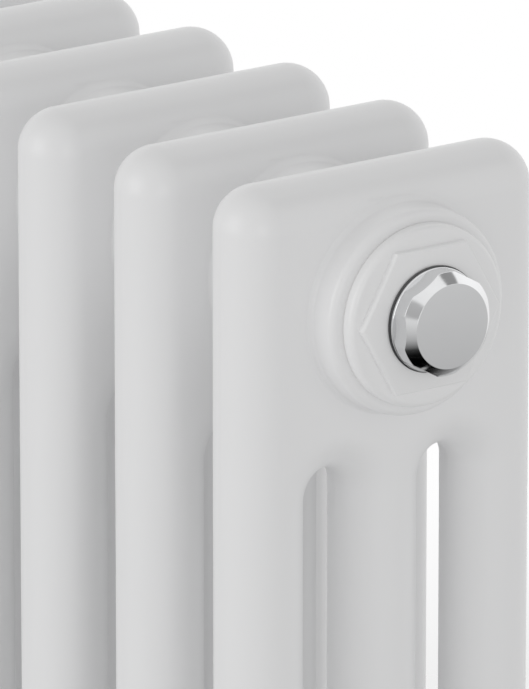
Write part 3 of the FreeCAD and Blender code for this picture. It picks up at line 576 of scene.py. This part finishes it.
def ventScrewBody(shape, face):
    bm = bmesh.new()
    low = face - shape["pocketDepth"] + 0.1 * mm
    top = low + shape["collarHigh"]
    spinProfile(bm, softCorners([(low, 0, 0), (low, shape["collar"], 0.1 * mm),
                                 (top, shape["collar"], 0.25 * mm), (top, 0, 0)], 4), 64, closed=False)
    cube = bmesh.ops.create_cube(bm, size=2 * shape["keyHalf"],
                                 matrix=Matrix.Translation((0, 0, top - 0.1 * mm + shape["keyHigh"] / 2))
                                 @ Matrix.Diagonal((1, 1, shape["keyHigh"] / (2 * shape["keyHalf"]), 1)))
    edges = {e for v in cube["verts"] for e in v.link_edges}
    bmesh.ops.bevel(bm, geom=list(edges), offset=0.3 * mm, segments=3, profile=0.5, affect="EDGES", material=-1)
    return bm


def sealBody(shape):
    bm = bmesh.new()
    wireRadius = shape["sealWire"]
    ring = [(wireRadius + wireRadius * math.sin(a * math.tau / 16),
             shape["radius"] - 0.2 * mm + wireRadius * math.cos(a * math.tau / 16)) for a in range(16)]
    spinProfile(bm, ring, 128)
    return bm


def buildTappings():
    for side, hand in ((1, "Right"), (-1, "Left")):
        for where in ("top", "bottom"):
            node = "bush_" + where + "_" + hand.lower()
            low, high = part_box(node)
            rimAt = (high.x if side > 0 else low.x) - side * (bushShape["flangeHigh"] + bushShape["hexHigh"])
            bm = bushBody(bushShape)
            layAlong(bm, side, (rimAt, 0, (low.z + high.z) / 2))
            addPiece(where + hand + "Bush", meshFrom(bm, node, 40), "radiator", "bush_enamel", bushEnamel, node)
    level = centreOf("blanking_plug").z
    for side, name, node in ((1, "blankingPlug", "blanking_plug"), (-1, "ventBody", "vent_body")):
        low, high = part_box(node)
        seat = (high.x if side > 0 else low.x) - side * plugShape["high"]
        pocket = () if side > 0 else (ventShape["pocket"], ventShape["pocketDepth"])
        bm = plugBody(plugShape, *pocket)
        layAlong(bm, side, (seat, 0, level))
        finish = plugChrome if side > 0 else ventChrome
        addPiece(name, meshFrom(bm, name, 22), "radiator", "plug_chrome", finish, node)
        bm = sealBody(plugShape)
        layAlong(bm, side, (seat, 0, level))
        sealMesh = meshFrom(bm, name + "Seal")
        addPiece(name + "Seal", sealMesh, "radiator", "seal_rubber", sealRubber, "plug_seals")
        if side < 0:
            bm = ventScrewBody(ventShape, plugShape["high"])
            layAlong(bm, side, (seat, 0, level))
            screwMesh = meshFrom(bm, "ventScrew", 30)
            addPiece("ventScrew", screwMesh, "vent_screw", "brass", turnedBrass, "vent_screw")


buildTappings()
print("tappings closed")


# ---- valves, thermostatic head and lockshield cap ----

valveAxis = centreOf("valve_olive").x
valveLevel = centreOf("bush_bottom_right").z
# (level from the branch axis, radius, rounding) in millimetres
valveTurnings = {
    "upright": ((-15, 7.55, 0), (-30, 7.55, 0), (-30, 10.4, 0.4), (-19, 10.4, 0.6), (-17.5, 12.6, 0.4),
                (-14, 12.6, 1.2), (-9, 14.6, 4.0), (3, 14.9, 5.0), (9.5, 13.4, 1.5), (16, 13.4, 0.5),
                (16, 9.9, 0), (-4, 9.9, 0), (-4, 6, 0), (-15, 6, 0)),
    "branch": ((0, 0, 0), (0, 11, 0), (16.6, 11, 0.8), (17, 13, 0.3), (27, 13, 0.6), (27, 0, 0)),
    "tail": ((27, 7, 0), (27, 12.2, 0.5), (30.2, 12.2, 0), (30.2, 9.4, 0), (43, 9.4, 1.0), (43, 11.8, 0.5),
             (46.9, 11.8, 0.3), (46.9, 10.4, 0), (61, 10.4, 0.5), (61, 7, 0)),
    "collar": ((21.6, 14.95, 0), (21.6, 18.2, 0.8), (34.4, 18.2, 0.8), (34.4, 12.2, 0), (31.4, 12.2, 0),
               (31.4, 14.95, 0)),
    "base": ((30.6, 9, 0), (30.6, 11.9, 0), (34.6, 11.9, 0.4), (34.6, 19, 1.2), (37.2, 21.6, 0.8),
             (40.6, 21.6, 0.4), (40.6, 19.8, 0), (46, 19.8, 0.4), (46, 16.4, 0), (40, 16.4, 0), (40, 6, 0),
             (34.2, 6, 0), (34.2, 9, 0)),
    "knob": ((41, 20.1, 0), (41, 22.5, 0.6), (63, 22.5, 0), (85, 22.5, 0), (94.6, 22.5, 4.0), (98, 6, 8.0),
             (98, 0, 0), (92.4, 0, 0), (92.4, 17.1, 0), (89.4, 20.1, 0), (85, 20.1, 0), (63, 20.1, 0)),
    "cap": ((16.4, 12.3, 0), (16.4, 14.6, 0.8), (38.8, 14.6, 0), (42.6, 13.6, 2.6), (43, 4, 6.0), (43, 0, 0),
            (40.4, 0, 0), (40.4, 9, 0), (37, 12.3, 0)),
}
sensorTurning = {"low": 36.5, "stem": 5.95, "shoulder": 43.5, "radius": 13.4, "rings": 14, "ringPitch": 2.1,
                 "ringDepth": 0.5, "top": 79.5}
knobShape = {"radius": 22.5, "steps": 144, "windowCount": 12, "windowSteps": 4, "windowLow": 63.0,
             "windowHigh": 85.0, "windowEdge": 0.5}
figureShape = {"figures": "012345", "apart": 60, "size": 8.1, "level": 52.0, "rise": 0.18}
pointerShape = {"radius": 1.3, "thick": 1.2, "out": 21.7, "level": 38.9}
# (across flats, lower end, upper end, bore) in millimetres
nutSizes = {"union": (30.0, 18.0, 34.2, 9.6), "compression": (24.0, -38.0, -21.0, 7.7)}
nutEdges = {"rimShare": 0.97, "cornerFall": 0.6, "rounding": 0.2}
# (count, depth, width, lower end, upper end) in millimetres
fluteSizes = {"collar": (24, 0.5, 1.6, 0.0, 100.0), "cap": (16, 0.6, 2.6, 17.5, 39.5)}


def turnedBody(points, steps=96, closed=True):
    bm = bmesh.new()
    spinProfile(bm, softCorners([(z * mm, r * mm, c * mm) for z, r, c in points]), steps, closed)
    return bm


def nutBody(flats, low, high, bore):
    # an upright nut, its corners turned down at both ends to a rim a little inside the flats
    bm = bmesh.new()
    corner, rim = flats / math.sqrt(3), flats / 2 * nutEdges["rimShare"]
    fall, soft = (corner - rim) * nutEdges["cornerFall"], nutEdges["rounding"]
    chain = [(low, bore, 0), (low, rim, soft), (low + fall, corner, soft), (high - fall, corner, soft),
             (high, rim, soft), (high, bore, 0)]
    spinProfile(bm, softCorners([(z * mm, r * mm, c * mm) for z, r, c in chain], 3), 96)
    bmesh.ops.recalc_face_normals(bm, faces=bm.faces[:])
    sixFlats(bm, flats * mm, 30)
    return bm


def fluteRound(bm, sizes):
    # press lengthwise grooves into the outside of a turned shape
    count = sizes[0]
    depth, width, low, high = [size * mm for size in sizes[1:]]
    rim = max(math.hypot(v.co.x, v.co.y) for v in bm.verts)
    outside = rim * 0.93
    for v in bm.verts:
        radius = math.hypot(v.co.x, v.co.y)
        if radius > outside and low <= v.co.z <= high:
            turn = math.atan2(v.co.y, v.co.x) * count / math.tau
            away = abs(turn - round(turn)) * math.tau * rim / count
            press = depth * max(0.0, 1 - (away / (width / 2)) ** 2)
            v.co.x *= 1 - press / radius
            v.co.y *= 1 - press / radius


def putUpright(bm, side):
    turn = Matrix.Rotation(0 if side > 0 else math.pi, 4, "Z")
    place = Matrix.Translation((side * valveAxis, 0, valveLevel))
    bmesh.ops.transform(bm, matrix=place @ turn, verts=bm.verts[:])


def layBranch(bm):
    # from upright about Z to lying towards the radiator
    bmesh.ops.rotate(bm, verts=bm.verts[:], cent=(0, 0, 0), matrix=Matrix.Rotation(math.radians(-90), 3, "Y"))


def joinBodies(*bodies):
    whole = bmesh.new()
    for body in bodies:
        carrier = bpy.data.meshes.new("carrier")
        body.to_mesh(carrier)
        body.free()
        whole.from_mesh(carrier)
        bpy.data.meshes.remove(carrier)
    return whole


def buildValve(side, prefix):
    branch = turnedBody(valveTurnings["branch"], closed=False)
    tail = turnedBody(valveTurnings["tail"])
    unionNut = nutBody(*nutSizes["union"])
    compressionNut = nutBody(*nutSizes["compression"])
    for bm in (branch, tail, unionNut):
        layBranch(bm)
    body = joinBodies(turnedBody(valveTurnings["upright"]), branch)
    parts = {"body": body, "tail": tail, "union_nut": unionNut, "compression_nut": compressionNut}
    for part, bm in parts.items():
        putUpright(bm, side)
        name = prefix + "".join(word.capitalize() for word in part.split("_"))
        addPiece(name, meshFrom(bm, name, 28), "radiator", "valve_chrome", valveChrome, prefix + "_" + part)


def knobBody():
    # a turned shell with its windows opened through both walls and bridged
    shape = knobShape
    steps, count = shape["steps"], shape["windowCount"]
    bm = turnedBody(valveTurnings["knob"], steps)
    low, high = shape["windowLow"] * mm, shape["windowHigh"] * mm
    pace = steps // count
    gone = []
    for face in bm.faces:
        middle = face.calc_center_median()
        if low < middle.z < high and abs(face.normal.z) < 0.5:
            step = math.floor(math.atan2(middle.y, middle.x) / math.tau * steps) + steps
            if (step + (shape["windowSteps"] + pace) // 2) % pace < shape["windowSteps"]:
                gone.append(face)
    bmesh.ops.delete(bm, geom=gone, context="FACES_ONLY")
    bmesh.ops.delete(bm, geom=[e for e in bm.edges if not e.link_faces], context="EDGES")
    windows = {}
    for edge in [e for e in bm.edges if e.is_boundary]:
        middle = (edge.verts[0].co + edge.verts[1].co) / 2
        turn = math.atan2(middle.y, middle.x) / math.tau * count
        windows.setdefault(round(turn - 0.5) % count, []).append(edge)
    for edges in windows.values():
        bmesh.ops.bridge_loops(bm, edges=edges)
    bmesh.ops.recalc_face_normals(bm, faces=bm.faces[:])
    rim = [e for e in bm.edges if len(e.link_faces) == 2 and e.calc_face_angle() > math.radians(60)
           and all(low - 1e-6 < v.co.z < high + 1e-6 for v in e.verts)]
    bmesh.ops.bevel(bm, geom=rim, offset=shape["windowEdge"] * mm, segments=3, profile=0.5, affect="EDGES",
                    material=-1, clamp_overlap=True)
    return bm


def figureBody(text, angle):
    # one raised figure wrapped round the knob
    curve = bpy.data.curves.new("figure", "FONT")
    curve.body = text
    curve.size = figureShape["size"] * mm
    curve.align_x = "CENTER"
    curve.align_y = "CENTER"
    curve.extrude = figureShape["rise"] * mm
    curve.resolution_u = 6
    holder = bpy.data.objects.new("figure", curve)
    mesh = bpy.data.meshes.new_from_object(holder)
    bm = bmesh.new()
    bm.from_mesh(mesh)
    bpy.data.objects.remove(holder)
    bpy.data.curves.remove(curve)
    bpy.data.meshes.remove(mesh)
    bmesh.ops.remove_doubles(bm, verts=bm.verts[:], dist=1e-6)
    radius = knobShape["radius"] * mm
    for v in bm.verts:
        turn, out, rise = angle + v.co.x / radius, radius + v.co.z, v.co.y
        v.co = (out * math.cos(turn), out * math.sin(turn), figureShape["level"] * mm + rise)
    return bm


def sensorBody():
    shape = sensorTurning
    low = shape["shoulder"] + 3
    chain = [(shape["low"], 0, 0), (shape["low"], shape["stem"], 0), (shape["shoulder"], shape["stem"], 0.3),
             (shape["shoulder"] + 1, shape["radius"], 0.6)]
    for ring in range(shape["rings"]):
        at = low + ring * shape["ringPitch"]
        inner = shape["radius"] - shape["ringDepth"]
        chain += [(at, shape["radius"], 0.15), (at + 0.3, inner, 0.15), (at + 0.9, inner, 0.15),
                  (at + 1.2, shape["radius"], 0.15)]
    chain += [(shape["top"], shape["radius"], 1.2), (shape["top"], 0, 0)]
    return turnedBody(chain, 64, False)


def buildFittings():
    buildValve(1, "valve")
    buildValve(-1, "lockshield")
    collar = turnedBody(valveTurnings["collar"], 288)
    fluteRound(collar, fluteSizes["collar"])
    base = turnedBody(valveTurnings["base"])
    pointer = bmesh.new()
    place = Matrix.Translation((0, -pointerShape["out"] * mm, pointerShape["level"] * mm))
    bmesh.ops.create_cone(pointer, cap_ends=True, segments=3, radius1=pointerShape["radius"] * mm,
                          radius2=pointerShape["radius"] * mm, depth=pointerShape["thick"] * mm,
                          matrix=place @ Matrix.Rotation(math.radians(90), 4, "X"))
    knob = knobBody()
    shown = figureShape["figures"]
    figures = joinBodies(*[figureBody(text, math.radians(-90 + (len(shown) - 1 - at) * figureShape["apart"]))
                           for at, text in enumerate(shown)])
    cap = turnedBody(valveTurnings["cap"], 192)
    # long edges are split, so that the flutes have a ring of points part-way up the wall
    upright = [e for e in cap.edges if e.calc_length() > 12 * mm]
    bmesh.ops.subdivide_edges(cap, edges=upright, cuts=1)
    fluteRound(cap, fluteSizes["cap"])
    base = joinBodies(base, pointer)
    pieces = (("headCollar", collar, 1, "radiator", "valve_chrome", valveChrome, "head_collar", 35),
              ("headBase", base, 1, "radiator", "white_plastic", whitePlastic, "head_base", 35),
              ("headSensor", sensorBody(), 1, "plunger", "sensor_plastic", sensorPlastic, "head_sensor", 35),
              ("headKnob", knob, 1, "knob", "white_plastic", whitePlastic, "head_knob", 40),
              ("knobFigures", figures, 1, "knob", "sensor_plastic", sensorPlastic, "head_knob", 30),
              ("lockshieldCap", cap, -1, "lockshield_cap", "white_plastic", whitePlastic, "lockshield_cap", 40))
    for name, bm, side, body, slotName, finish, node, sharp in pieces:
        putUpright(bm, side)
        addPiece(name, meshFrom(bm, name, sharp), body, slotName, finish, node)


buildFittings()
print("fittings built")


# ---- CAD nodes that keep their shape ----

finishOfSlot = {"radiator_enamel": enamel, "bush_enamel": bushEnamel, "foot_enamel": footEnamel,
                "plug_chrome": ventChrome, "valve_chrome": valveChrome, "brass": turnedBrass,
                "spring_steel": springSteel, "zinc_steel": zincPlate, "seal_rubber": sealRubber,
                "white_plastic": whitePlastic, "sensor_plastic": sensorPlastic}
slotOfNode = {part["node"]: part["material_slot"] for part in frame["record"]["subparts"]}
footEdge = {"seam": 0.01 * mm, "width": 0.8 * mm, "angle": 50, "segments": 3}

for nodeName, nodeObject in frame["nodes"].items():
    nodeObject.data.materials.clear()
    nodeObject.data.materials.append(finishOfSlot[slotOfNode[nodeName]])
for nodeName in ("foot_right", "foot_left"):
    closer = frame["nodes"][nodeName].modifiers.new("closeSeams", "WELD")
    closer.merge_threshold = footEdge["seam"]
    eased = frame["nodes"][nodeName].modifiers.new("easedEdges", "BEVEL")
    eased.limit_method = "ANGLE"
    eased.angle_limit = math.radians(footEdge["angle"])
    eased.width = footEdge["width"]
    eased.segments = footEdge["segments"]
    eased.harden_normals = True


# ---- floor, light and camera ----

stageSet = {"floorRadius": 1.9, "fadeStart": 0.75, "fadeEnd": 1.85, "below": 0.0002, "roughness": 0.7,
            "floorColour": (0.86, 0.86, 0.86), "palerBy": 1.04, "grainScale": 3.0}
skySet = {"seen": 1.0, "roomRamp": ((0.10, 0.66), (0.50, 0.64), (0.90, 0.44)),
          "mirrorRamp": ((0.08, 0.0), (0.14, 0.02), (0.26, 0.40), (0.353, 0.56), (0.5, 0.74), (0.75, 0.92),
                         (0.9, 1.0)),
          "farGlow": {"toward": (-0.53, 0.85, 0.0), "strength": 0.35},
          "cards": (((0.294, 0.553, 0.779), 0.985, 0.970, 0.75), ((0.63, -0.68, 0.38), 0.985, 0.955, 0.50))}
lampSet = {
    "frontKey": {"place": (-0.6, -3.4, 1.5), "aim": (0.1, 0, 0.5), "size": 2.2, "power": 21.0},
    "endFill": {"place": (3.8, -1.6, 1.2), "aim": (0.2, 0, 0.5), "size": 1.6, "power": 10.0},
}
cameraSet = {"lens": 545.75, "yaw": 54.652, "pitch": 17.117, "place": (2.2565, -1.6373, 0.8054)}


def buildStage():
    bm = bmesh.new()
    bmesh.ops.create_circle(bm, cap_ends=True, segments=96, radius=stageSet["floorRadius"])
    floor = bpy.data.objects.new("studioFloor", meshFrom(bm, "studioFloor"))
    scene.collection.objects.link(floor)
    floor.location.z = cadBox[0].z - stageSet["below"]
    material, tree, shader, place = startMaterial("studioFloor")
    grain = addNode(tree, "ShaderNodeTexNoise", Vector=place, Scale=stageSet["grainScale"], Detail=3.0)
    paler = [min(1.0, value * stageSet["palerBy"]) for value in stageSet["floorColour"]]
    colour = mixColour(tree, grain.outputs["Fac"], (*stageSet["floorColour"], 1), (*paler, 1))
    wire(tree, colour, shader.inputs["Base Color"])
    shader.inputs["Roughness"].default_value = stageSet["roughness"]
    away = addNode(tree, "ShaderNodeVectorMath", {"operation": "LENGTH"})
    wire(tree, place, away.inputs[0])
    fade = addNode(tree, "ShaderNodeMapRange", {"interpolation_type": "SMOOTHSTEP"},
                   Value=away.outputs["Value"])
    fade.inputs["From Min"].default_value = stageSet["fadeStart"]
    fade.inputs["From Max"].default_value = stageSet["fadeEnd"]
    fade.inputs["To Min"].default_value = 1.0
    fade.inputs["To Max"].default_value = 0.0
    wire(tree, fade.outputs["Result"], shader.inputs["Alpha"])
    floor.data.materials.append(material)
    floor.visible_glossy = False


def greyRamp(tree, height, stops):
    made = addNode(tree, "ShaderNodeValToRGB", Fac=height)
    ramp = made.color_ramp
    for element, (place, value) in zip(ramp.elements, (stops[0], stops[-1])):
        element.position = place
        element.color = (value, value, value, 1)
    for place, value in stops[1:-1]:
        ramp.elements.new(place).color = (value, value, value, 1)
    return made.outputs["Color"]


def towards(tree, looking, direction, near, far):
    # 0 away from a direction and 1 around it
    aim = addNode(tree, "ShaderNodeVectorMath", {"operation": "DOT_PRODUCT"})
    wire(tree, looking, aim.inputs[0])
    aim.inputs[1].default_value = Vector(direction).normalized()
    spot = addNode(tree, "ShaderNodeMapRange", {"interpolation_type": "SMOOTHSTEP"}, Value=aim.outputs["Value"])
    spot.inputs["From Min"].default_value = far
    spot.inputs["From Max"].default_value = near
    return spot.outputs["Result"]


def buildLight():
    # the camera sees plain white, dull surfaces an even room, and mirrors a studio with dark cards in it
    world = bpy.data.worlds.new("studio")
    scene.world = world
    world.use_nodes = True
    tree = world.node_tree
    tree.nodes.clear()
    looking = tree.nodes.new("ShaderNodeTexCoord").outputs["Generated"]
    parts = addNode(tree, "ShaderNodeSeparateXYZ", Vector=looking)
    height = mathNode(tree, "MULTIPLY_ADD", parts.outputs["Z"], 0.5, 0.5)
    room = greyRamp(tree, height, skySet["roomRamp"])
    mirror = greyRamp(tree, height, skySet["mirrorRamp"])
    glow = skySet["farGlow"]
    lit = mathNode(tree, "MULTIPLY", towards(tree, looking, glow["toward"], 1.0, 0.1), glow["strength"])
    value = mathNode(tree, "ADD", mirror, lit)
    for direction, near, far, depth in skySet["cards"]:
        card = mathNode(tree, "MULTIPLY", towards(tree, looking, direction, near, far), depth)
        value = mathNode(tree, "MULTIPLY", value, mathNode(tree, "SUBTRACT", 1.0, card))
    path = tree.nodes.new("ShaderNodeLightPath")
    grey = addNode(tree, "ShaderNodeCombineColor", Red=value, Green=value, Blue=value)
    indirect = mixColour(tree, path.outputs["Is Glossy Ray"], room, grey.outputs["Color"])
    shown = mixColour(tree, path.outputs["Is Camera Ray"], indirect, (*[skySet["seen"]] * 3, 1))
    sky = addNode(tree, "ShaderNodeBackground", Color=shown, Strength=1.0)
    output = tree.nodes.new("ShaderNodeOutputWorld")
    wire(tree, sky.outputs[0], output.inputs[0])
    for name, lamp in lampSet.items():
        data = bpy.data.lights.new(name, "AREA")
        data.energy = lamp["power"]
        data.size = lamp["size"]
        holder = bpy.data.objects.new(name, data)
        scene.collection.objects.link(holder)
        holder.location = lamp["place"]
        holder.rotation_mode = "QUATERNION"
        holder.rotation_quaternion = (Vector(lamp["aim"]) - Vector(lamp["place"])).to_track_quat("-Z", "Y")


def buildCamera():
    data = bpy.data.cameras.new("studioCamera")
    data.lens = cameraSet["lens"]
    data.sensor_width = 36.0
    data.clip_start, data.clip_end = 0.05, 60.0
    holder = bpy.data.objects.new("studioCamera", data)
    scene.collection.objects.link(holder)
    yaw, pitch = math.radians(cameraSet["yaw"]), math.radians(cameraSet["pitch"])
    ahead = Vector((-math.sin(yaw) * math.cos(pitch), math.cos(yaw) * math.cos(pitch), -math.sin(pitch)))
    holder.location = Vector((endPlace, 0, topLevel)) + Vector(cameraSet["place"])
    holder.rotation_mode = "QUATERNION"
    holder.rotation_quaternion = ahead.to_track_quat("-Z", "Y")
    scene.camera = holder


buildStage()
buildLight()
buildCamera()
scene.view_settings.view_transform = "Standard"
scene.view_settings.gamma = 1.2
print("stage, light and camera set")
